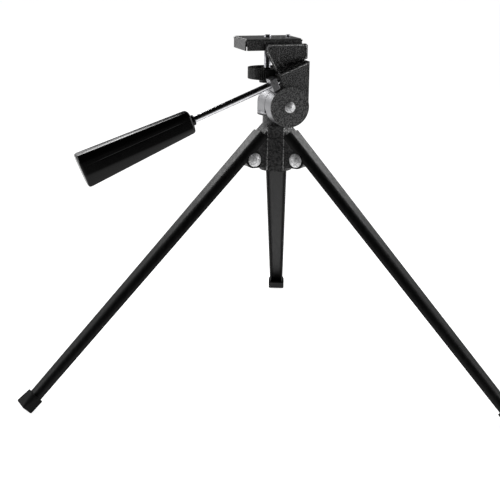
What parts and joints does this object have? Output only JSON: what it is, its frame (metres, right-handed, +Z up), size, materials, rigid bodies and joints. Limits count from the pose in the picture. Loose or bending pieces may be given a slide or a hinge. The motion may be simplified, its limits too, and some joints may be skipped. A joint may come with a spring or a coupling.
{
  "type": "tabletop tripod with pan and tilt head",
  "caption": "Small black tabletop tripod: splayed channel legs with rubber feet, pan-and-tilt head with disc clamp, long grip handle and a platform with camera screw and thumb wheel.",
  "frame": {"origin": "on the surface the feet stand on, under the middle of the box around the three feet", "axes": "+Z up; +Y along the back leg; +X to the right as seen from the side of the two front legs"},
  "size_m": [0.4418, 0.383, 0.3181],
  "materials": {
    "paint_hub": "black wrinkle paint",
    "paint_leg": "satin black powder coat",
    "rubber": "matte",
    "zinc": "satin zinc plate",
    "bright": "bright nickel plate",
    "nylon": "natural nylon",
    "fibre": "black fibre",
    "grip": "glossy black",
    "wheel": "black moulded"
  },
  "bodies": {
    "tripod_hub": {"hub_casting": "paint_hub", "leg_rivet_left": "bright", "leg_rivet_right": "bright", "leg_rivet_back": "bright", "leg_washers": "nylon"},
    "leg_left": {"leg_channel_left": "paint_leg", "foot_cap_left": "rubber"},
    "leg_right": {"leg_channel_right": "paint_leg", "foot_cap_right": "rubber"},
    "leg_back": {"leg_channel_back": "paint_leg", "foot_cap_back": "rubber"},
    "pan_body": {"pan_base": "zinc", "pan_washer": "fibre", "pan_bolt": "zinc", "pan_spring_washer": "zinc", "tilt_washer": "fibre"},
    "tilt_body": {"tilt_drum": "zinc", "tilt_arm": "paint_hub", "tilt_cap_disc": "paint_hub", "arm_screws": "zinc", "tilt_bolt": "bright", "tilt_spring_washer": "zinc", "tilt_nut": "zinc", "flip_hinge_pin": "zinc", "brake_plug": "nylon", "lock_nut": "bright"},
    "handle": {"handle_rod": "bright", "handle_grip": "grip"},
    "platform": {"flip_bracket": "paint_hub", "platform_tray": "paint_hub", "platform_pad": "rubber", "tray_screws": "zinc"},
    "screw_carrier": {"screw_retaining_clip": "zinc"},
    "screw_wheel": {"camera_screw": "bright", "thumb_wheel": "wheel"},
    "pin_plunger": {"locating_pin": "bright", "pin_spring": "zinc"}
  },
  "joints": [
    {"name": "leg_left_fold", "type": "hinge", "parent": "tripod_hub", "child": "leg_left", "pos_m": [-0.02373, -0.07278, 0.20758], "axis": [0.5, -0.866, 0], "range_deg": [0, 48]},
    {"name": "leg_right_fold", "type": "hinge", "parent": "tripod_hub", "child": "leg_right", "pos_m": [0.02373, -0.07278, 0.20758], "axis": [0.5, 0.866, 0], "range_deg": [0, 48]},
    {"name": "leg_back_fold", "type": "hinge", "parent": "tripod_hub", "child": "leg_back", "pos_m": [0, -0.03168, 0.20758], "axis": [-1, 0, 0], "range_deg": [0, 48]},
    {"name": "head_pan", "type": "hinge", "parent": "tripod_hub", "child": "pan_body", "pos_m": [0, -0.05908, 0.24658], "axis": [0, 0, 1], "continuous": true},
    {"name": "head_tilt", "type": "hinge", "parent": "pan_body", "child": "tilt_body", "pos_m": [0.00178, -0.05843, 0.25678], "axis": [-0.342, 0.9397, 0], "range_deg": [-18, 90]},
    {"name": "platform_flip", "type": "hinge", "parent": "tilt_body", "child": "platform", "pos_m": [-0.00069, -0.08513, 0.28515], "axis": [0.8713, 0.3171, 0.3746], "range_deg": [0, 90]},
    {"name": "handle_twist", "type": "hinge", "parent": "tilt_body", "child": "handle", "pos_m": [0.00163, -0.08429, 0.27904], "axis": [0.8713, 0.3171, 0.3746], "range_deg": [-180, 180]},
    {"name": "camera_screw_lift", "type": "slide", "parent": "platform", "child": "screw_carrier", "axis": [0, 0, 1], "range_m": [0, 0.003]},
    {"name": "camera_screw_turn", "type": "hinge", "parent": "screw_carrier", "child": "screw_wheel", "pos_m": [-0.00893, -0.06232, 0.27928], "axis": [0, 0, 1], "continuous": true},
    {"name": "locating_pin_press", "type": "slide", "parent": "platform", "child": "pin_plunger", "axis": [0, 0, -1], "range_m": [0, 0.002], "stiffness_N_per_m": 200, "springref_m": -0.002, "deforming": ["pin_spring"]}
  ]
}
